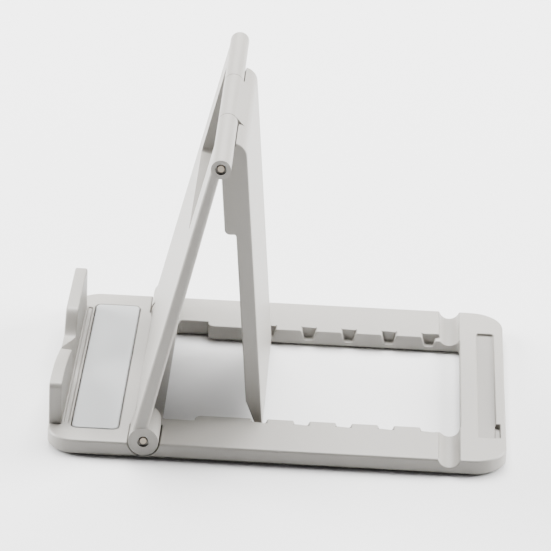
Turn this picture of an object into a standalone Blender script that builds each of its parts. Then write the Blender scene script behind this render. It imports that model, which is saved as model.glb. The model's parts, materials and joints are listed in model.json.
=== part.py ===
"""Folding tablet stand: base frame with a front lip and toothed side rails,
hinged back rest, and a rear leg whose foot drops into a pair of notches.

Metres, +Z up.  The origin is the middle of the footprint, on the table.
+X points to the rear of the stand and Y runs along the hinge pins.
"""
import math
import bpy
import bmesh
from mathutils import Matrix, Vector

MM = 0.001

# ---------------------------------------------------------------- dimensions (mm)
BASE_L, BASE_W = 125.0, 95.0
FOOT_H = 0.6                       # rubber feet stand this far below the base
BASE_T = 4.25
Z0, Z1 = FOOT_H, FOOT_H + BASE_T   # underside and top of the base
R_FRONT, R_REAR = 8.0, 9.5         # plan corners
EDGE_R = 0.7

LIP_T, LIP_HALF = 3.6, 38.5
LIP_NEAR_TOP, LIP_FAR_TOP, LIP_VALLEY = 16.9, 17.2, 11.1


PAD_X0, PAD_X1, PAD_HALF = 6.1, 19.4, 40.0
PAD_T, POCKET_D, GAP = 1.3, 1.5, 0.3

WIN_X0, WIN_X1 = 30.8, 112.5
WIN_HALF_WIDE, WIN_HALF = 31.8, 28.8
STRIP_X = 39.5                     # where the toothed strips start
NOTCH_X0, NOTCH_PITCH, NOTCHES = 57.2, 11.6, 5
NOTCH_END, NOTCH_FLOOR = 31.3, 1.8

HX, HZ = 26.6, 5.45                # lower hinge axis
ARM = 82.8                         # lower axis to upper axis
LEAN = 90.0 - 77.05                # back rest from the vertical, at rest
LEG_TILT = -4.9                    # leg from the vertical, at rest
KNUCKLE_R, SEAT_R = 4.1, 4.45
KNUCKLE_Y0, KNUCKLE_Y1 = 36.1, 47.5
EAR_R, EAR_Y0, EAR_Y1 = 3.85, 33.0, 35.8

PANEL_FRONT_LOW, PANEL_FRONT_TOP, PANEL_REAR = 3.65, 2.45, 0.3
PANEL_BOTTOM = 0.0
SIDE = 47.65                       # outer ends of knuckles and barrels
BARREL_R, BARREL_Y0 = 2.65, 14.8
OPENING_U, OPENING_HALF = 55.05, 28.6   # opening for the tab of the leg

LEG_HALF = 28.2
LEG_TOP, LEG_TOP_R = 0.3, 4.3
LEG_FRONT, LEG_REAR = 1.45, 5.75
TAB_FRONT, TAB_BOTTOM = -1.6, 27.3
TAPER_S, TIP_OFF, TIP_Z = 77.2, 3.7, 2.15
LEG_KNUCKLE_HALF = 14.5

PIN_R = 1.05
BORE_R, EAR_BORE_R, COUNTERBORE_R = 1.2, 1.15, 1.6


def wx(x):
    """Distance from the front end to the row's X."""
    return x - BASE_L / 2


# ---------------------------------------------------------------- scene
for ob in list(bpy.data.objects):
    bpy.data.objects.remove(ob, do_unlink=True)
PARTS = bpy.data.collections.new("tablet_stand")
CUTS = bpy.data.collections.new("cutters")
bpy.context.scene.collection.children.link(PARTS)
bpy.context.scene.collection.children.link(CUTS)


def material(name, rgb, rough, metal=0.0):
    m = bpy.data.materials.new(name)
    m.use_nodes = True
    b = m.node_tree.nodes["Principled BSDF"]
    b.inputs["Base Color"].default_value = (*rgb, 1.0)
    b.inputs["Roughness"].default_value = rough
    b.inputs["Metallic"].default_value = metal
    return m


# ---------------------------------------------------------------- helpers
def arc(cx, cy, r, a0, a1, n):
    return [(cx + r * math.cos(math.radians(a0 + (a1 - a0) * i / n)),
             cy + r * math.sin(math.radians(a0 + (a1 - a0) * i / n))) for i in range(n + 1)]


def rounded_box(x0, x1, y0, y1, r0, r1=None, n=6):
    """Outline with corner radius r0 at the x0 end and r1 at the x1 end."""
    r1 = r0 if r1 is None else r1
    return (arc(x1 - r1, y1 - r1, r1, 0, 90, n) + arc(x0 + r0, y1 - r0, r0, 90, 180, n)
            + arc(x0 + r0, y0 + r0, r0, 180, 270, n) + arc(x1 - r1, y0 + r1, r1, 270, 360, n))


TURN = {"Z": Matrix.Identity(4),
        "Y": Matrix.Rotation(math.pi / 2, 4, "X"),
        "X": Matrix.Rotation(math.pi / 2, 4, "Z") @ Matrix.Rotation(math.pi / 2, 4, "X")}


def place(ob, coll, parent=None):
    for c in list(ob.users_collection):
        c.objects.unlink(ob)
    coll.objects.link(ob)
    if parent is not None:
        ob.parent = parent
    if coll is CUTS:
        ob.hide_render = True
        ob.display_type = "WIRE"
    return ob


def prism(name, pts, lo, hi, axis, coll=None, parent=None):
    """Flat outline in mm, extruded from lo to hi along the named axis."""
    cu = bpy.data.curves.new(name, "CURVE")
    cu.dimensions = "2D"
    cu.fill_mode = "BOTH"
    cu.extrude = (hi - lo) / 2 * MM
    sp = cu.splines.new("POLY")
    sp.points.add(len(pts) - 1)
    for p, (a, b) in zip(sp.points, pts):
        p.co = (a * MM, b * MM, 0.0, 1.0)
    sp.use_cyclic_u = True
    tmp = bpy.data.objects.new(name + "_outline", cu)
    bpy.context.scene.collection.objects.link(tmp)
    bpy.context.view_layer.update()
    me = bpy.data.meshes.new_from_object(tmp.evaluated_get(bpy.context.evaluated_depsgraph_get()))
    bpy.data.objects.remove(tmp, do_unlink=True)
    bpy.data.curves.remove(cu)
    bm = bmesh.new()
    bm.from_mesh(me)
    bmesh.ops.remove_doubles(bm, verts=bm.verts, dist=1e-6)
    bmesh.ops.dissolve_limit(bm, angle_limit=0.01, verts=bm.verts, edges=bm.edges)
    mid = (lo + hi) / 2 * MM
    shift = {"Z": (0, 0, mid), "Y": (0, mid, 0), "X": (mid, 0, 0)}[axis]
    bmesh.ops.transform(bm, matrix=Matrix.Translation(shift) @ TURN[axis], verts=bm.verts)
    bmesh.ops.recalc_face_normals(bm, faces=bm.faces)
    bm.to_mesh(me)
    bm.free()
    me.name = name
    ob = bpy.data.objects.new(name, me)
    return place(ob, PARTS if coll is None else coll, parent)


def cylinder(name, x, z, r, y0, y1, n=32, coll=None, parent=None):
    """Round bar along Y, in mm, about the axis (x, z)."""
    bm = bmesh.new()
    bmesh.ops.create_cone(bm, cap_ends=True, segments=n, radius1=r * MM, radius2=r * MM,
                          depth=abs(y1 - y0) * MM)
    m = Matrix.Translation((x * MM, (y0 + y1) / 2 * MM, z * MM)) @ Matrix.Rotation(math.pi / 2, 4, "X")
    bmesh.ops.transform(bm, matrix=m, verts=bm.verts)
    me = bpy.data.meshes.new(name)
    bm.to_mesh(me)
    bm.free()
    ob = bpy.data.objects.new(name, me)
    return place(ob, PARTS if coll is None else coll, parent)


def disc(name, x, y, r, z0, z1, n=28, coll=None):
    bm = bmesh.new()
    bmesh.ops.create_cone(bm, cap_ends=True, segments=n, radius1=r * MM, radius2=r * MM,
                          depth=(z1 - z0) * MM)
    bmesh.ops.transform(bm, matrix=Matrix.Translation((x * MM, y * MM, (z0 + z1) / 2 * MM)),
                        verts=bm.verts)
    me = bpy.data.meshes.new(name)
    bm.to_mesh(me)
    bm.free()
    return place(bpy.data.objects.new(name, me), PARTS if coll is None else coll)


def boolean(ob, other, op):
    m = ob.modifiers.new(op.lower() + "_" + other.name, "BOOLEAN")
    m.operation = op
    m.object = other
    m.solver = "EXACT"


def bevel(ob, width, segments=2, angle=50):
    m = ob.modifiers.new("edges", "BEVEL")
    m.width = width * MM
    m.segments = segments
    m.limit_method = "ANGLE"
    m.angle_limit = math.radians(angle)


def finish(ob, mat):
    ob.data.materials.clear()
    ob.data.materials.append(mat)
    ob.data.shade_smooth()
    ob.data.set_sharp_from_angle(angle=math.radians(32))


def axis_empty(name, x, z, turn_deg, parent=None):
    e = bpy.data.objects.new(name, None)
    e.location = (x * MM, 0, z * MM)
    e.rotation_euler = (0, math.radians(turn_deg), 0)
    e.empty_display_size = 0.01
    PARTS.objects.link(e)
    e.parent = parent
    return e


ABS = material("abs_body", (0.66, 0.655, 0.635), 0.48)
ABS_BACK = material("abs_back_rest", (0.66, 0.655, 0.635), 0.48)
ABS_LEG = material("abs_leg", (0.66, 0.655, 0.635), 0.48)
SILICONE = material("silicone_pad", (0.60, 0.615, 0.62), 0.65)
RUBBER = material("rubber_foot", (0.42, 0.42, 0.42), 0.8)
STEEL = material("steel_pin", (0.62, 0.61, 0.59), 0.3, 1.0)

# ---------------------------------------------------------------- base frame
base = prism("base_frame",
             rounded_box(wx(0), wx(BASE_L), -BASE_W / 2, BASE_W / 2, R_FRONT, R_REAR, n=8),
             Z0, Z1, "Z")
bevel(base, EDGE_R, 3)


def lip_top(y):
    """Height of the lip: two prongs and an S-shaped valley for a cable."""
    def ease(t):
        t = min(max(t, 0.0), 1.0)
        return t * t * (3 - 2 * t)
    if y < 3.0:
        t = max((y + 35.0) / 38.0, 0.0) ** 1.3
        return LIP_NEAR_TOP + (LIP_VALLEY - LIP_NEAR_TOP) * ease(t)
    return LIP_VALLEY + (LIP_FAR_TOP - LIP_VALLEY) * ease((y - 3.0) / 7.5)


crest = []
steps = 34
for i in range(steps + 1):
    y = -35.0 + 51.0 * i / steps
    crest.append((y, lip_top(y)))
lip_pts = ([(-LIP_HALF, Z0 + 1.0)] + arc(-LIP_HALF + 1.5, LIP_NEAR_TOP - 1.5, 1.5, 180, 90, 4)
           + crest + arc(LIP_HALF - 1.5, LIP_FAR_TOP - 1.5, 1.5, 90, 0, 4)
           + [(LIP_HALF, Z0 + 1.0)])
lip = prism("lip_blank", lip_pts, wx(0.05), wx(LIP_T), "X", CUTS)
bevel(lip, 0.5, 2, 60)
scoop_pts = [(-9.6, 19.0), (-8.4, 10.0), (-7.7, 7.6), (-6.4, 6.7), (-4.4, 6.8), (-0.5, 8.2), (3.5, 10.6),
             (7.0, 13.8), (10.0, 19.0)]
scoop = prism("lip_scoop", scoop_pts, wx(-1.5), wx(LIP_T + 1.2), "X", CUTS)
for v in scoop.data.vertices:      # the valley's floor falls towards the platform
    v.co.z += 1.72 * (wx(LIP_T) * MM - v.co.x)
boolean(lip, scoop, "DIFFERENCE")
boolean(base, lip, "UNION")

for side, s in (("near", -1), ("far", 1)):
    ear = cylinder("ear_" + side, wx(HX), HZ, EAR_R, s * EAR_Y0, s * (EAR_Y1 + 0.3), 32, CUTS)
    boolean(base, ear, "UNION")

pocket = prism("pad_pocket", rounded_box(wx(PAD_X0), wx(PAD_X1), -PAD_HALF, PAD_HALF, 2.0, n=5),
               Z1 - POCKET_D, Z1 + 2, "Z", CUTS)
boolean(base, pocket, "DIFFERENCE")
gutter = prism("lip_gutter", rounded_box(wx(4.1), wx(5.4), -LIP_HALF + 1, LIP_HALF - 1, 0.6, n=4),
               Z1 - 0.45, Z1 + 2, "Z", CUTS)
boolean(base, gutter, "DIFFERENCE")

half = (arc(wx(WIN_X1 - 1.5), WIN_HALF - 1.5, 1.5, 0, 90, 4)
        + arc(wx(STRIP_X + 2.0), WIN_HALF + 2.0, 2.0, 270, 180, 5)
        + [(wx(STRIP_X), WIN_HALF_WIDE)]
        + arc(wx(WIN_X0 + 1.2), WIN_HALF_WIDE - 1.2, 1.2, 90, 180, 4))
window = prism("window", half + [(x, -y) for x, y in reversed(half)], -2, 8, "Z", CUTS)
boolean(base, window, "DIFFERENCE")

for k in range(NOTCHES):
    c = wx(NOTCH_X0 + k * NOTCH_PITCH)
    pts = ([(c - 2.9, Z1 + 1.5)] + arc(c - 2.75, Z1 - 0.75, 0.8, 90, 12, 4)
           + arc(c - 0.75, NOTCH_FLOOR + 0.7, 0.7, 180, 270, 3)
           + arc(c + 0.75, NOTCH_FLOOR + 0.7, 0.7, 270, 360, 3)
           + arc(c + 2.75, Z1 - 0.75, 0.8, 168, 90, 4) + [(c + 2.9, Z1 + 1.5)])
    boolean(base, prism("notch_%d" % k, pts, -NOTCH_END, NOTCH_END, "Y", CUTS), "DIFFERENCE")

after_last = prism("strip_end", [(wx(104.6), Z1 - 1.15), (wx(107.6), Z1 - 1.15), (wx(107.6), Z1 + 2),
                                 (wx(104.6), Z1 + 2)], -NOTCH_END, NOTCH_END, "Y", CUTS)
boolean(base, after_last, "DIFFERENCE")
boolean(base, cylinder("barrel_groove", wx(HX + ARM), HZ, BARREL_R + GAP, -55, 55, 40, CUTS),
        "DIFFERENCE")
for side, s in (("near", -1), ("far", 1)):
    boolean(base, cylinder("seat_" + side, wx(HX), HZ, SEAT_R, s * EAR_Y1, s * 55, 40, CUTS),
            "DIFFERENCE")
    boolean(base, cylinder("ear_bore_" + side, wx(HX), HZ, EAR_BORE_R, s * (EAR_Y0 + 0.4), s * 37, 20,
                           CUTS), "DIFFERENCE")
tuck = prism("leg_tip_recess", [(wx(24.2), -1.0), (wx(31.5), -1.0), (wx(31.5), 4.13), (wx(24.2), 1.92)],
             -31.2, 31.2, "Y", CUTS)
boolean(base, tuck, "DIFFERENCE")
boolean(base, prism("rear_recess", rounded_box(wx(117.2), wx(122.2), -33.3, 33.3, 0.8, n=3),
                    Z1 - 0.8, Z1 + 2, "Z", CUTS), "DIFFERENCE")
boolean(base, prism("rear_slot", rounded_box(wx(122.0), wx(123.4), -32.9, -24.5, 0.3, n=2),
                    Z1 - 1.5, Z1 + 2, "Z", CUTS), "DIFFERENCE")

FEET = (("foot_front_near", 12.0, -33.0), ("foot_front_far", 12.0, 33.0),
        ("foot_rear_near", 118.0, -36.0), ("foot_rear_far", 118.0, 36.0))
for name, x, y in FEET:
    boolean(base, disc(name + "_socket", wx(x), y, 4.8, -1.0, Z0 + 0.9, 28, CUTS), "DIFFERENCE")
finish(base, ABS)

for name, x, y in FEET:
    foot = disc(name, wx(x), y, 4.5, 0.0, 1.2)
    bevel(foot, 0.2, 2)
    finish(foot, RUBBER)

# ---------------------------------------------------------------- pad in the platform
pad = prism("base_pad", rounded_box(wx(PAD_X0 + GAP), wx(PAD_X1 - GAP), -PAD_HALF + GAP,
                                    PAD_HALF - GAP, 1.7, n=5),
            Z1 + 0.1 - PAD_T, Z1 + 0.1, "Z")
bevel(pad, 0.45, 3)
finish(pad, SILICONE)

# ---------------------------------------------------------------- back rest
lower_axis = axis_empty("lower_hinge_axis", wx(HX), HZ, LEAN)
panel_pts = [(-PANEL_FRONT_LOW, PANEL_BOTTOM), (PANEL_REAR, PANEL_BOTTOM),
             (PANEL_REAR, ARM), (-PANEL_FRONT_TOP, ARM)]
back = prism("back_rest", panel_pts, -BASE_W / 2, BASE_W / 2, "Y", parent=lower_axis)
bevel(back, 0.9, 3)
boolean(back, prism("tab_opening",
                    rounded_box(-OPENING_HALF, OPENING_HALF, OPENING_U, 95, 1.2, n=4),
                    -9, 9, "X", CUTS, lower_axis), "DIFFERENCE")
for side, s in (("near", -1), ("far", 1)):
    boolean(back, cylinder("top_barrel_" + side, 0, ARM, BARREL_R, s * BARREL_Y0, s * SIDE, 32,
                           CUTS, lower_axis), "UNION")
    boolean(back, cylinder("knuckle_" + side, 0, 0, KNUCKLE_R, s * (KNUCKLE_Y0 - 2.5), s * SIDE, 36,
                           CUTS, lower_axis), "UNION")
    boolean(back, cylinder("ear_clear_" + side, 0, 0, SEAT_R, s * (EAR_Y0 - 0.4), s * KNUCKLE_Y0, 36,
                           CUTS, lower_axis), "DIFFERENCE")
    boolean(back, cylinder("knuckle_bore_" + side, 0, 0, BORE_R, s * 30, s * 50, 20, CUTS, lower_axis),
            "DIFFERENCE")
    boolean(back, cylinder("knuckle_mouth_" + side, 0, 0, COUNTERBORE_R, s * 46.8, s * 50, 24, CUTS,
                           lower_axis), "DIFFERENCE")
    boolean(back, cylinder("barrel_bore_" + side, 0, ARM, BORE_R, s * 10, s * 50, 20, CUTS, lower_axis),
            "DIFFERENCE")
    boolean(back, cylinder("barrel_mouth_" + side, 0, ARM, COUNTERBORE_R - 0.1, s * 46.8, s * 50, 24,
                           CUTS, lower_axis), "DIFFERENCE")
finish(back, ABS_BACK)

# ---------------------------------------------------------------- rear leg
upper_axis = axis_empty("upper_hinge_axis", 0, ARM, LEG_TILT - LEAN, lower_axis)
tilt = math.radians(-LEG_TILT)
PIN_Z = HZ + ARM * math.cos(math.radians(LEAN))


def s_at(off, z):
    """Distance down the leg at which the offset off from its axis stands at height z."""
    return (PIN_Z - z + off * math.sin(tilt)) / math.cos(tilt)


s_front, s_rear = s_at(TIP_OFF, TIP_Z), s_at(LEG_REAR, TIP_Z)
foot_pts = [(TIP_OFF, -s_front), (LEG_REAR, -s_rear)]
leg_pts = (foot_pts
           + arc(LEG_REAR - LEG_TOP_R, -LEG_TOP - LEG_TOP_R, LEG_TOP_R, 0, 90, 7)
           + [(TAB_FRONT, -LEG_TOP)]
           + arc(TAB_FRONT + 1.5, -TAB_BOTTOM + 1.5, 1.5, 180, 270, 4)
           + [(LEG_FRONT, -TAB_BOTTOM), (LEG_FRONT, -TAPER_S)])
leg = prism("rear_leg", leg_pts, -LEG_HALF, LEG_HALF, "Y", parent=upper_axis)
bevel(leg, 0.6, 2, 60)
bridge = [(-0.5, -0.5), (2.07, 1.58), (4.82, -1.99), (4.0, -5.0), (0.0, -5.0)]
boolean(leg, prism("knuckle_bridge", bridge, -14.2, 14.2, "Y", CUTS, upper_axis), "UNION")
boolean(leg, cylinder("leg_knuckle", 0, 0, BARREL_R, -LEG_KNUCKLE_HALF - 1.5, LEG_KNUCKLE_HALF + 1.5,
                      36, CUTS, upper_axis), "UNION")
for side, s in (("near", -1), ("far", 1)):
    boolean(leg, cylinder("barrel_clear_" + side, 0, 0, BARREL_R + GAP, s * LEG_KNUCKLE_HALF, s * 40, 36,
                          CUTS, upper_axis), "DIFFERENCE")
boolean(leg, cylinder("leg_bore", 0, 0, BORE_R, -20, 20, 20, CUTS, upper_axis), "DIFFERENCE")
finish(leg, ABS_LEG)

# ---------------------------------------------------------------- hinge pins
for side, s in (("near", -1), ("far", 1)):
    pin = cylinder("lower_pin_" + side, 0, 0, PIN_R, s * (EAR_Y0 + 0.8), s * 47.2, 24, parent=lower_axis)
    bevel(pin, 0.15, 1)
    finish(pin, STEEL)
top_pin = cylinder("upper_pin", 0, ARM, PIN_R, -47.2, 47.2, 24, parent=lower_axis)
bevel(top_pin, 0.15, 1)
finish(top_pin, STEEL)

bpy.context.view_layer.update()
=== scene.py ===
"""Looks for the folding tablet stand: finer pieces, materials, light and camera."""
import json
import math
import bpy
import bmesh
from mathutils import Matrix, Vector

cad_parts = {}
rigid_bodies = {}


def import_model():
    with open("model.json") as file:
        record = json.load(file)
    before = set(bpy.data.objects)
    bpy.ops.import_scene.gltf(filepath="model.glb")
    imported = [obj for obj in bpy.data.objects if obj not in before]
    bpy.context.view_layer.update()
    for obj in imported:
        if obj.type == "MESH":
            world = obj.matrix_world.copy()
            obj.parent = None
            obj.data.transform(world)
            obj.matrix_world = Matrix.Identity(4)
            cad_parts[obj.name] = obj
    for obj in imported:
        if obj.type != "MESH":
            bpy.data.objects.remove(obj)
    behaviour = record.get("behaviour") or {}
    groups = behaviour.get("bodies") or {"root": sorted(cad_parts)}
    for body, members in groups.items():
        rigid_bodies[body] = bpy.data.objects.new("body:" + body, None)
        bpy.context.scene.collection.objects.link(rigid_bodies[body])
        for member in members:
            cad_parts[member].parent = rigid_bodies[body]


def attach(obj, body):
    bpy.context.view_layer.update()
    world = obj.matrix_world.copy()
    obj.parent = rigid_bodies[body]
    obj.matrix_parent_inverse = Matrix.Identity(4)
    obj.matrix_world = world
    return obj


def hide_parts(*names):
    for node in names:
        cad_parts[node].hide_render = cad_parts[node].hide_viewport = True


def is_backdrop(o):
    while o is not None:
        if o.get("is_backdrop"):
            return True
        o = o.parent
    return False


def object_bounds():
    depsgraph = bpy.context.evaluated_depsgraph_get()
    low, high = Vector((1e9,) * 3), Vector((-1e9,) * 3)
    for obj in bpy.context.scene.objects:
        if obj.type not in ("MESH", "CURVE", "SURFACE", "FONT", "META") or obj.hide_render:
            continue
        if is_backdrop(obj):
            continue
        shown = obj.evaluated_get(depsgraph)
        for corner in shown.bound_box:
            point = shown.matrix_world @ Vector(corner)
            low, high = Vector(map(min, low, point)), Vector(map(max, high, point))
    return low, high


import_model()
size_at_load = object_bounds()
FINE = 2                           # how much finer the arcs are than the plain part

MM = 0.001

# ---------------------------------------------------------------- dimensions (mm)
BASE_L, BASE_W = 125.0, 95.0
FOOT_H = 0.6                       # rubber feet stand this far below the base
BASE_T = 4.25
Z0, Z1 = FOOT_H, FOOT_H + BASE_T   # underside and top of the base
R_FRONT, R_REAR = 8.0, 9.5         # plan corners
EDGE_R = 0.7

LIP_T, LIP_HALF = 3.6, 38.5
LIP_NEAR_TOP, LIP_FAR_TOP, LIP_VALLEY = 16.9, 17.2, 11.1


PAD_X0, PAD_X1, PAD_HALF = 6.1, 19.4, 40.0
PAD_T, POCKET_D, GAP = 1.3, 1.5, 0.3

WIN_X0, WIN_X1 = 30.8, 112.5
WIN_HALF_WIDE, WIN_HALF = 31.8, 28.8
STRIP_X = 39.5                     # where the toothed strips start
NOTCH_X0, NOTCH_PITCH, NOTCHES = 57.2, 11.6, 5
NOTCH_END, NOTCH_FLOOR = 31.3, 1.8

HX, HZ = 26.6, 5.45                # lower hinge axis
ARM = 82.8                         # lower axis to upper axis
LEAN = 90.0 - 77.05                # back rest from the vertical, at rest
LEG_TILT = -4.9                    # leg from the vertical, at rest
KNUCKLE_R, SEAT_R = 4.1, 4.45
KNUCKLE_Y0, KNUCKLE_Y1 = 36.1, 47.5
EAR_R, EAR_Y0, EAR_Y1 = 3.85, 33.0, 35.8

PANEL_FRONT_LOW, PANEL_FRONT_TOP, PANEL_REAR = 3.65, 2.45, 0.3
PANEL_BOTTOM = 0.0
SIDE = 47.65                       # outer ends of knuckles and barrels
BARREL_R, BARREL_Y0 = 2.65, 14.8
OPENING_U, OPENING_HALF = 55.05, 28.6   # opening for the tab of the leg

LEG_HALF = 28.2
LEG_TOP, LEG_TOP_R = 0.3, 4.3
LEG_FRONT, LEG_REAR = 1.45, 5.75
TAB_FRONT, TAB_BOTTOM = -1.6, 27.3
TAPER_S, TIP_OFF, TIP_Z = 77.2, 3.7, 2.15
LEG_KNUCKLE_HALF = 14.5

PIN_R = 1.05
BORE_R, EAR_BORE_R, COUNTERBORE_R = 1.2, 1.15, 1.6


def wx(x):
    """Distance from the front end to the row's X."""
    return x - BASE_L / 2


# ---------------------------------------------------------------- scene
PARTS = bpy.data.collections.new("tablet_stand")
CUTS = bpy.data.collections.new("cutters")
bpy.context.scene.collection.children.link(PARTS)
bpy.context.scene.collection.children.link(CUTS)


def material(name, rgb, rough, bump, scale, metal=0.0, sss=0.0, mottle=0.04, stretch=1.0):
    """Plain moulded or drawn surface: slight mottling, fine grain and uneven gloss."""
    m = bpy.data.materials.new(name)
    m.use_nodes = True
    nt = m.node_tree
    b = nt.nodes["Principled BSDF"]
    co = nt.nodes.new("ShaderNodeTexCoord")
    mp = nt.nodes.new("ShaderNodeMapping")
    mp.inputs["Scale"].default_value = (1.0, stretch, 1.0)
    nt.links.new(co.outputs["Object"], mp.inputs["Vector"])

    def noise(size, detail):
        n = nt.nodes.new("ShaderNodeTexNoise")
        n.inputs["Scale"].default_value = size
        n.inputs["Detail"].default_value = detail
        nt.links.new(mp.outputs["Vector"], n.inputs["Vector"])
        return n

    wide, fine = noise(22.0, 3.0), noise(scale, 2.0)
    tone = nt.nodes.new("ShaderNodeValToRGB")
    tone.color_ramp.elements[0].position = 0.3
    tone.color_ramp.elements[1].position = 0.7
    tone.color_ramp.elements[0].color = (*[c * (1 - mottle) for c in rgb], 1.0)
    tone.color_ramp.elements[1].color = (*[min(1.0, c * (1 + mottle)) for c in rgb], 1.0)
    nt.links.new(wide.outputs["Fac"], tone.inputs["Fac"])
    nt.links.new(tone.outputs["Color"], b.inputs["Base Color"])
    gloss = nt.nodes.new("ShaderNodeMapRange")
    gloss.inputs["To Min"].default_value = rough - 0.06
    gloss.inputs["To Max"].default_value = rough + 0.06
    nt.links.new(fine.outputs["Fac"], gloss.inputs["Value"])
    nt.links.new(gloss.outputs["Result"], b.inputs["Roughness"])
    bm = nt.nodes.new("ShaderNodeBump")
    bm.inputs["Strength"].default_value = bump
    bm.inputs["Distance"].default_value = 0.00004
    nt.links.new(fine.outputs["Fac"], bm.inputs["Height"])
    nt.links.new(bm.outputs["Normal"], b.inputs["Normal"])
    b.inputs["Metallic"].default_value = metal
    if sss:
        b.inputs["Subsurface Weight"].default_value = sss
        b.inputs["Subsurface Radius"].default_value = (0.0012, 0.0011, 0.0010)
        b.inputs["Subsurface Scale"].default_value = 1.0
    return m


BODY_RGB = (0.250, 0.239, 0.219)
ABS = material("abs_body", BODY_RGB, 0.46, 0.25, 2600.0, sss=0.12, mottle=0.012)
ABS_BACK = material("abs_back_rest", BODY_RGB, 0.46, 0.25, 2600.0, sss=0.12, mottle=0.012)
ABS_LEG = material("abs_leg", BODY_RGB, 0.46, 0.25, 2600.0, sss=0.12, mottle=0.012)
SILICONE = material("silicone_pad", (0.300, 0.308, 0.310), 0.52, 0.35, 3200.0, sss=0.1, mottle=0.02)
RUBBER = material("rubber_foot", (0.30, 0.30, 0.30), 0.75, 0.6, 2200.0, mottle=0.06)
# painted shade: the sunken panel's floor takes the body colour darkened to 80 percent, standing in for the
# shade in its shallow recess
SUNK_PAINTED_SHADE = material("abs_sunken_panel_painted_shade", tuple(c * 0.80 for c in BODY_RGB), 0.38, 0.15, 2600.0, mottle=0.012)
STEEL = material("steel_pin", (0.22, 0.195, 0.16), 0.36, 0.4, 1500.0, metal=1.0, mottle=0.06, stretch=8.0)

# ---------------------------------------------------------------- helpers
def arc(cx, cy, r, a0, a1, n):
    n *= FINE
    return [(cx + r * math.cos(math.radians(a0 + (a1 - a0) * i / n)),
             cy + r * math.sin(math.radians(a0 + (a1 - a0) * i / n))) for i in range(n + 1)]


def rounded_box(x0, x1, y0, y1, r0, r1=None, n=6):
    """Outline with corner radius r0 at the x0 end and r1 at the x1 end."""
    r1 = r0 if r1 is None else r1
    return (arc(x1 - r1, y1 - r1, r1, 0, 90, n) + arc(x0 + r0, y1 - r0, r0, 90, 180, n)
            + arc(x0 + r0, y0 + r0, r0, 180, 270, n) + arc(x1 - r1, y0 + r1, r1, 270, 360, n))


TURN = {"Z": Matrix.Identity(4),
        "Y": Matrix.Rotation(math.pi / 2, 4, "X"),
        "X": Matrix.Rotation(math.pi / 2, 4, "Z") @ Matrix.Rotation(math.pi / 2, 4, "X")}


def place(ob, coll, parent=None):
    for c in list(ob.users_collection):
        c.objects.unlink(ob)
    coll.objects.link(ob)
    if parent is not None:
        ob.parent = parent
    if coll is CUTS:
        ob.hide_render = True
        ob.display_type = "WIRE"
    return ob


def prism(name, pts, lo, hi, axis, coll=None, parent=None):
    """Flat outline in mm, extruded from lo to hi along the named axis."""
    cu = bpy.data.curves.new(name, "CURVE")
    cu.dimensions = "2D"
    cu.fill_mode = "BOTH"
    cu.extrude = (hi - lo) / 2 * MM
    sp = cu.splines.new("POLY")
    sp.points.add(len(pts) - 1)
    for p, (a, b) in zip(sp.points, pts):
        p.co = (a * MM, b * MM, 0.0, 1.0)
    sp.use_cyclic_u = True
    tmp = bpy.data.objects.new(name + "_outline", cu)
    bpy.context.scene.collection.objects.link(tmp)
    bpy.context.view_layer.update()
    me = bpy.data.meshes.new_from_object(tmp.evaluated_get(bpy.context.evaluated_depsgraph_get()))
    bpy.data.objects.remove(tmp, do_unlink=True)
    bpy.data.curves.remove(cu)
    bm = bmesh.new()
    bm.from_mesh(me)
    bmesh.ops.remove_doubles(bm, verts=bm.verts, dist=1e-6)
    bmesh.ops.dissolve_limit(bm, angle_limit=0.01, verts=bm.verts, edges=bm.edges)
    mid = (lo + hi) / 2 * MM
    shift = {"Z": (0, 0, mid), "Y": (0, mid, 0), "X": (mid, 0, 0)}[axis]
    bmesh.ops.transform(bm, matrix=Matrix.Translation(shift) @ TURN[axis], verts=bm.verts)
    bmesh.ops.recalc_face_normals(bm, faces=bm.faces)
    bm.to_mesh(me)
    bm.free()
    me.name = name
    ob = bpy.data.objects.new(name, me)
    return place(ob, PARTS if coll is None else coll, parent)


def cylinder(name, x, z, r, y0, y1, n=32, coll=None, parent=None):
    """Round bar along Y, in mm, about the axis (x, z)."""
    n *= FINE
    bm = bmesh.new()
    bmesh.ops.create_cone(bm, cap_ends=True, segments=n, radius1=r * MM, radius2=r * MM,
                          depth=abs(y1 - y0) * MM)
    m = Matrix.Translation((x * MM, (y0 + y1) / 2 * MM, z * MM)) @ Matrix.Rotation(math.pi / 2, 4, "X")
    bmesh.ops.transform(bm, matrix=m, verts=bm.verts)
    me = bpy.data.meshes.new(name)
    bm.to_mesh(me)
    bm.free()
    ob = bpy.data.objects.new(name, me)
    return place(ob, PARTS if coll is None else coll, parent)


def disc(name, x, y, r, z0, z1, n=28, coll=None):
    n *= FINE
    bm = bmesh.new()
    bmesh.ops.create_cone(bm, cap_ends=True, segments=n, radius1=r * MM, radius2=r * MM,
                          depth=(z1 - z0) * MM)
    bmesh.ops.transform(bm, matrix=Matrix.Translation((x * MM, y * MM, (z0 + z1) / 2 * MM)),
                        verts=bm.verts)
    me = bpy.data.meshes.new(name)
    bm.to_mesh(me)
    bm.free()
    return place(bpy.data.objects.new(name, me), PARTS if coll is None else coll)


def boolean(ob, other, op):
    m = ob.modifiers.new(op.lower() + "_" + other.name, "BOOLEAN")
    m.operation = op
    m.object = other
    m.solver = "EXACT"


def bevel(ob, width, segments=2, angle=50):
    m = ob.modifiers.new("edges", "BEVEL")
    m.width = width * MM
    m.segments = segments
    m.limit_method = "ANGLE"
    m.angle_limit = math.radians(angle)


made = []


def finish(ob, mat):
    made.append((ob.name.split(".")[0], ob, mat))


def axis_empty(name, x, z, turn_deg, parent=None):
    e = bpy.data.objects.new(name, None)
    e.location = (x * MM, 0, z * MM)
    e.rotation_euler = (0, math.radians(turn_deg), 0)
    e.empty_display_size = 0.01
    PARTS.objects.link(e)
    e.parent = parent
    return e


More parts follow.
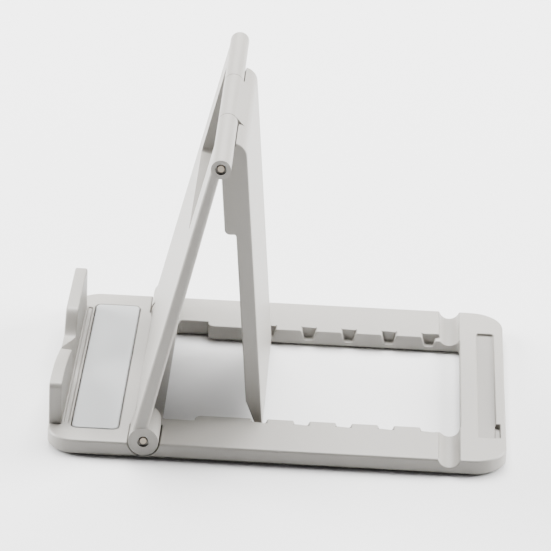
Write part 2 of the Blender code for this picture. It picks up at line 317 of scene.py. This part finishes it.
# ---------------------------------------------------------------- base frame
base = prism("base_frame",
             rounded_box(wx(0), wx(BASE_L), -BASE_W / 2, BASE_W / 2, R_FRONT, R_REAR, n=8),
             Z0, Z1, "Z")
bevel(base, EDGE_R, 3)


def lip_top(y):
    """Height of the lip: two prongs and an S-shaped valley for a cable."""
    def ease(t):
        t = min(max(t, 0.0), 1.0)
        return t * t * (3 - 2 * t)
    if y < 3.0:
        t = max((y + 35.0) / 38.0, 0.0) ** 1.3
        return LIP_NEAR_TOP + (LIP_VALLEY - LIP_NEAR_TOP) * ease(t)
    return LIP_VALLEY + (LIP_FAR_TOP - LIP_VALLEY) * ease((y - 3.0) / 7.5)


crest = []
steps = 80
for i in range(steps + 1):
    y = -35.0 + 51.0 * i / steps
    crest.append((y, lip_top(y)))
lip_pts = ([(-LIP_HALF, Z0 + 1.0)] + arc(-LIP_HALF + 1.5, LIP_NEAR_TOP - 1.5, 1.5, 180, 90, 4)
           + crest + arc(LIP_HALF - 1.5, LIP_FAR_TOP - 1.5, 1.5, 90, 0, 4)
           + [(LIP_HALF, Z0 + 1.0)])
lip = prism("lip_blank", lip_pts, wx(0.05), wx(LIP_T), "X", CUTS)
bevel(lip, 0.5, 2, 60)
scoop_pts = [(-9.6, 19.0), (-8.4, 10.0), (-7.7, 7.6), (-6.4, 6.7), (-4.4, 6.8), (-0.5, 8.2), (3.5, 10.6),
             (7.0, 13.8), (10.0, 19.0)]
scoop = prism("lip_scoop", scoop_pts, wx(-1.5), wx(LIP_T + 1.2), "X", CUTS)
for v in scoop.data.vertices:      # the valley's floor falls towards the platform
    v.co.z += 1.72 * (wx(LIP_T) * MM - v.co.x)
boolean(lip, scoop, "DIFFERENCE")
boolean(base, lip, "UNION")

for side, s in (("near", -1), ("far", 1)):
    ear = cylinder("ear_" + side, wx(HX), HZ, EAR_R, s * EAR_Y0, s * (EAR_Y1 + 0.3), 32, CUTS)
    boolean(base, ear, "UNION")

pocket = prism("pad_pocket", rounded_box(wx(PAD_X0), wx(PAD_X1), -PAD_HALF, PAD_HALF, 2.0, n=5),
               Z1 - POCKET_D, Z1 + 2, "Z", CUTS)
boolean(base, pocket, "DIFFERENCE")
gutter = prism("lip_gutter", rounded_box(wx(4.1), wx(5.4), -LIP_HALF + 1, LIP_HALF - 1, 0.6, n=4),
               Z1 - 0.45, Z1 + 2, "Z", CUTS)
boolean(base, gutter, "DIFFERENCE")

half = (arc(wx(WIN_X1 - 1.5), WIN_HALF - 1.5, 1.5, 0, 90, 4)
        + arc(wx(STRIP_X + 2.0), WIN_HALF + 2.0, 2.0, 270, 180, 5)
        + [(wx(STRIP_X), WIN_HALF_WIDE)]
        + arc(wx(WIN_X0 + 1.2), WIN_HALF_WIDE - 1.2, 1.2, 90, 180, 4))
window = prism("window", half + [(x, -y) for x, y in reversed(half)], -2, 8, "Z", CUTS)
boolean(base, window, "DIFFERENCE")

for k in range(NOTCHES):
    c = wx(NOTCH_X0 + k * NOTCH_PITCH)
    pts = ([(c - 2.9, Z1 + 1.5)] + arc(c - 2.75, Z1 - 0.75, 0.8, 90, 12, 4)
           + arc(c - 0.75, NOTCH_FLOOR + 0.7, 0.7, 180, 270, 3)
           + arc(c + 0.75, NOTCH_FLOOR + 0.7, 0.7, 270, 360, 3)
           + arc(c + 2.75, Z1 - 0.75, 0.8, 168, 90, 4) + [(c + 2.9, Z1 + 1.5)])
    boolean(base, prism("notch_%d" % k, pts, -NOTCH_END, NOTCH_END, "Y", CUTS), "DIFFERENCE")

after_last = prism("strip_end", [(wx(104.6), Z1 - 1.15), (wx(107.6), Z1 - 1.15), (wx(107.6), Z1 + 2),
                                 (wx(104.6), Z1 + 2)], -NOTCH_END, NOTCH_END, "Y", CUTS)
boolean(base, after_last, "DIFFERENCE")
boolean(base, cylinder("barrel_groove", wx(HX + ARM), HZ, BARREL_R + GAP, -55, 55, 40, CUTS),
        "DIFFERENCE")
for side, s in (("near", -1), ("far", 1)):
    boolean(base, cylinder("seat_" + side, wx(HX), HZ, SEAT_R, s * EAR_Y1, s * 55, 40, CUTS),
            "DIFFERENCE")
    boolean(base, cylinder("ear_bore_" + side, wx(HX), HZ, EAR_BORE_R, s * (EAR_Y0 + 0.4), s * 37, 20,
                           CUTS), "DIFFERENCE")
tuck = prism("leg_tip_recess", [(wx(24.2), -1.0), (wx(31.5), -1.0), (wx(31.5), 4.13), (wx(24.2), 1.92)],
             -31.2, 31.2, "Y", CUTS)
boolean(base, tuck, "DIFFERENCE")
boolean(base, prism("rear_recess", rounded_box(wx(117.2), wx(122.2), -33.3, 33.3, 0.8, n=3),
                    Z1 - 0.8, Z1 + 2, "Z", CUTS), "DIFFERENCE")
boolean(base, prism("rear_slot", rounded_box(wx(122.0), wx(123.4), -32.9, -24.5, 0.3, n=2),
                    Z1 - 1.5, Z1 + 2, "Z", CUTS), "DIFFERENCE")

FEET = (("foot_front_near", 12.0, -33.0), ("foot_front_far", 12.0, 33.0),
        ("foot_rear_near", 118.0, -36.0), ("foot_rear_far", 118.0, 36.0))
for name, x, y in FEET:
    boolean(base, disc(name + "_socket", wx(x), y, 4.8, -1.0, Z0 + 0.9, 28, CUTS), "DIFFERENCE")
finish(base, ABS)

for name, x, y in FEET:
    foot = disc(name, wx(x), y, 4.5, 0.0, 1.2)
    bevel(foot, 0.2, 2)
    finish(foot, RUBBER)

# ---------------------------------------------------------------- pad in the platform
pad = prism("base_pad", rounded_box(wx(PAD_X0 + GAP), wx(PAD_X1 - GAP), -PAD_HALF + GAP,
                                    PAD_HALF - GAP, 1.7, n=5),
            Z1 + 0.1 - PAD_T, Z1 + 0.1, "Z")
bevel(pad, 0.45, 3)
finish(pad, SILICONE)

# ---------------------------------------------------------------- back rest
lower_axis = axis_empty("lower_hinge_axis", wx(HX), HZ, LEAN)
panel_pts = [(-PANEL_FRONT_LOW, PANEL_BOTTOM), (PANEL_REAR, PANEL_BOTTOM),
             (PANEL_REAR, ARM), (-PANEL_FRONT_TOP, ARM)]
back = prism("back_rest", panel_pts, -BASE_W / 2, BASE_W / 2, "Y", parent=lower_axis)
bevel(back, 0.9, 3)
boolean(back, prism("tab_opening",
                    rounded_box(-OPENING_HALF, OPENING_HALF, OPENING_U, 95, 1.2, n=4),
                    -9, 9, "X", CUTS, lower_axis), "DIFFERENCE")
for side, s in (("near", -1), ("far", 1)):
    boolean(back, cylinder("top_barrel_" + side, 0, ARM, BARREL_R, s * BARREL_Y0, s * SIDE, 32,
                           CUTS, lower_axis), "UNION")
    boolean(back, cylinder("knuckle_" + side, 0, 0, KNUCKLE_R, s * (KNUCKLE_Y0 - 2.5), s * SIDE, 36,
                           CUTS, lower_axis), "UNION")
    boolean(back, cylinder("ear_clear_" + side, 0, 0, SEAT_R, s * (EAR_Y0 - 0.4), s * KNUCKLE_Y0, 36,
                           CUTS, lower_axis), "DIFFERENCE")
    boolean(back, cylinder("knuckle_bore_" + side, 0, 0, BORE_R, s * 30, s * 50, 20, CUTS, lower_axis),
            "DIFFERENCE")
    boolean(back, cylinder("knuckle_mouth_" + side, 0, 0, COUNTERBORE_R, s * 46.8, s * 50, 24, CUTS,
                           lower_axis), "DIFFERENCE")
    boolean(back, cylinder("barrel_bore_" + side, 0, ARM, BORE_R, s * 10, s * 50, 20, CUTS, lower_axis),
            "DIFFERENCE")
    boolean(back, cylinder("barrel_mouth_" + side, 0, ARM, COUNTERBORE_R - 0.1, s * 46.8, s * 50, 24,
                           CUTS, lower_axis), "DIFFERENCE")
finish(back, ABS_BACK)

# ---------------------------------------------------------------- rear leg
upper_axis = axis_empty("upper_hinge_axis", 0, ARM, LEG_TILT - LEAN, lower_axis)
tilt = math.radians(-LEG_TILT)
PIN_Z = HZ + ARM * math.cos(math.radians(LEAN))


def s_at(off, z):
    """Distance down the leg at which the offset off from its axis stands at height z."""
    return (PIN_Z - z + off * math.sin(tilt)) / math.cos(tilt)


s_front, s_rear = s_at(TIP_OFF, TIP_Z), s_at(LEG_REAR, TIP_Z)
foot_pts = [(TIP_OFF, -s_front), (LEG_REAR, -s_rear)]
leg_pts = (foot_pts
           + arc(LEG_REAR - LEG_TOP_R, -LEG_TOP - LEG_TOP_R, LEG_TOP_R, 0, 90, 7)
           + [(TAB_FRONT, -LEG_TOP)]
           + arc(TAB_FRONT + 1.5, -TAB_BOTTOM + 1.5, 1.5, 180, 270, 4)
           + [(LEG_FRONT, -TAB_BOTTOM), (LEG_FRONT, -TAPER_S)])
leg = prism("rear_leg", leg_pts, -LEG_HALF, LEG_HALF, "Y", parent=upper_axis)
bevel(leg, 0.6, 2, 60)
bridge = [(-0.5, -0.5), (2.07, 1.58), (4.82, -1.99), (4.0, -5.0), (0.0, -5.0)]
boolean(leg, prism("knuckle_bridge", bridge, -14.2, 14.2, "Y", CUTS, upper_axis), "UNION")
boolean(leg, cylinder("leg_knuckle", 0, 0, BARREL_R, -LEG_KNUCKLE_HALF - 1.5, LEG_KNUCKLE_HALF + 1.5,
                      36, CUTS, upper_axis), "UNION")
for side, s in (("near", -1), ("far", 1)):
    boolean(leg, cylinder("barrel_clear_" + side, 0, 0, BARREL_R + GAP, s * LEG_KNUCKLE_HALF, s * 40, 36,
                          CUTS, upper_axis), "DIFFERENCE")
boolean(leg, cylinder("leg_bore", 0, 0, BORE_R, -20, 20, 20, CUTS, upper_axis), "DIFFERENCE")
finish(leg, ABS_LEG)

# ---------------------------------------------------------------- hinge pins
for side, s in (("near", -1), ("far", 1)):
    pin = cylinder("lower_pin_" + side, 0, 0, PIN_R, s * (EAR_Y0 + 0.8), s * 47.2, 24, parent=lower_axis)
    bevel(pin, 0.15, 1)
    finish(pin, STEEL)
top_pin = cylinder("upper_pin", 0, ARM, PIN_R, -47.2, 47.2, 24, parent=lower_axis)
bevel(top_pin, 0.15, 1)
finish(top_pin, STEEL)

bpy.context.view_layer.update()

# ---------------------------------------------------------------- finer pieces take over from the plain ones
BODY_OF = {"base_frame": "base", "base_pad": "base", "foot_front_near": "base",
           "foot_front_far": "base", "foot_rear_near": "base", "foot_rear_far": "base",
           "back_rest": "back_rest", "lower_pin_near": "back_rest", "lower_pin_far": "back_rest",
           "upper_pin": "back_rest", "rear_leg": "rear_leg"}
LAST_EDGE = {"base_frame": 0.32, "back_rest": 0.35, "rear_leg": 0.4}

for node, ob, mat in made:
    if node in LAST_EDGE:
        m = ob.modifiers.new("last_edges", "BEVEL")
        m.width = LAST_EDGE[node] * MM
        m.segments = 3
        m.limit_method = "ANGLE"
        m.angle_limit = math.radians(38)
        m.use_clamp_overlap = node != "base_frame"
        m.miter_outer = "MITER_ARC"
        if node == "base_frame":   # the lip keeps its own edges
            ob.modifiers.move(ob.modifiers.find("union_lip_blank"), len(ob.modifiers) - 1)
bpy.context.view_layer.update()
deps = bpy.context.evaluated_depsgraph_get()


def corners(me):
    co = [v.co for v in me.vertices]
    return [f(c[i] for c in co) for i in range(3) for f in (min, max)]


for node, ob, mat in made:
    if node in LAST_EDGE:          # the rounded edges stay only if the piece keeps its size
        rounded = corners(bpy.data.meshes.new_from_object(ob.evaluated_get(deps)))
        ob.modifiers["last_edges"].show_viewport = False
        bpy.context.view_layer.update()
        deps = bpy.context.evaluated_depsgraph_get()
        square = corners(bpy.data.meshes.new_from_object(ob.evaluated_get(deps)))
        worst = max(abs(a - b) for a, b in zip(rounded, square))
        print("edge", node, round(worst / MM, 3), "mm")
        if worst < 0.15 * MM:
            ob.modifiers["last_edges"].show_viewport = True
            bpy.context.view_layer.update()
            deps = bpy.context.evaluated_depsgraph_get()
    me = bpy.data.meshes.new_from_object(ob.evaluated_get(deps))
    me.name = node + "_fine"
    me.transform(ob.matrix_world)
    me.materials.clear()
    me.materials.append(mat)
    if node == "base_frame":       # the sunken panel at the rear has a smoother floor, whose colour is painted darker as painted shade in the recess
        me.materials.append(SUNK_PAINTED_SHADE)
        for f in me.polygons:
            x, z = f.center.x / MM, f.center.z / MM
            f.material_index = int(f.normal.z > 0.9 and abs(z - Z1 + 0.8) < 0.1 and x > wx(116.9))
    me.shade_smooth()
    me.set_sharp_from_angle(angle=math.radians(34))
    piece = bpy.data.objects.new(node + "_fine", me)
    bpy.context.scene.collection.objects.link(piece)
    w = piece.modifiers.new("even_shading", "WEIGHTED_NORMAL")
    w.keep_sharp = True
    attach(piece, BODY_OF[node])
    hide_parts(node)
for coll in (PARTS, CUTS):
    for ob in list(coll.objects):
        bpy.data.objects.remove(ob, do_unlink=True)
    bpy.data.collections.remove(coll)

# ---------------------------------------------------------------- floor, light and camera
bm = bmesh.new()
bmesh.ops.create_grid(bm, x_segments=1, y_segments=1, size=3.0)
floor_mesh = bpy.data.meshes.new("floor")
bm.to_mesh(floor_mesh)
bm.free()
floor = bpy.data.objects.new("floor", floor_mesh)
bpy.context.scene.collection.objects.link(floor)
paper = bpy.data.materials.new("pale_floor")
paper.use_nodes = True
pb = paper.node_tree.nodes["Principled BSDF"]
pb.inputs["Base Color"].default_value = (0.66, 0.66, 0.66, 1.0)
pb.inputs["Roughness"].default_value = 0.9
floor.data.materials.append(paper)
floor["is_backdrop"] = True


def lamp(name, loc, aim, size, watts, tint=(1.0, 1.0, 1.0)):
    li = bpy.data.lights.new(name, "AREA")
    li.shape = "SQUARE"
    li.size = size
    li.energy = watts
    li.color = tint
    ob = bpy.data.objects.new(name, li)
    ob.location = loc
    ob.rotation_euler = (Vector(aim) - Vector(loc)).to_track_quat("-Z", "Y").to_euler()
    bpy.context.scene.collection.objects.link(ob)
    ob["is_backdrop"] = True
    return ob


lamp("overhead", (0.0, 0.70, 1.20), (0, 0.05, 0), 1.1, 84.0)
lamp("left_side", (-1.0, 0.30, 0.50), (0, 0, 0.05), 0.7, 52.0)
lamp("right_side", (1.0, 0.30, 0.50), (0, 0, 0.05), 0.7, 52.0)

world = bpy.data.worlds.new("studio")
world.use_nodes = True
world.node_tree.nodes["Background"].inputs["Color"].default_value = (1.0, 1.0, 1.0, 1.0)
world.node_tree.nodes["Background"].inputs["Strength"].default_value = 0.15
bpy.context.scene.world = world

cam = bpy.data.cameras.new("camera")
cam.sensor_width = 36.0
cam.lens = 36.0 * 3563.93 / 551.0
cam_ob = bpy.data.objects.new("camera", cam)
forward = Vector((-0.02377779, 0.90965055, -0.41469324))
right = Vector((0.99836245, 0.04319465, 0.03750526))
up = Vector((-0.05202921, 0.41312237, 0.90918803))
turn = Matrix((right, up, -forward)).transposed()
cam_ob.matrix_world = Matrix.Translation((0.020346, -0.902767, 0.446610)) @ turn.to_4x4()
bpy.context.scene.collection.objects.link(cam_ob)
bpy.context.scene.camera = cam_ob

size_at_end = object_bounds()


def plain(value):
    if isinstance(value, dict):
        return {str(k): plain(v) for k, v in value.items()}
    if isinstance(value, (int, float, str)) or value is None:
        return value
    return [plain(v) for v in value]


{"at_load": plain(size_at_load), "at_end": plain(size_at_end)}
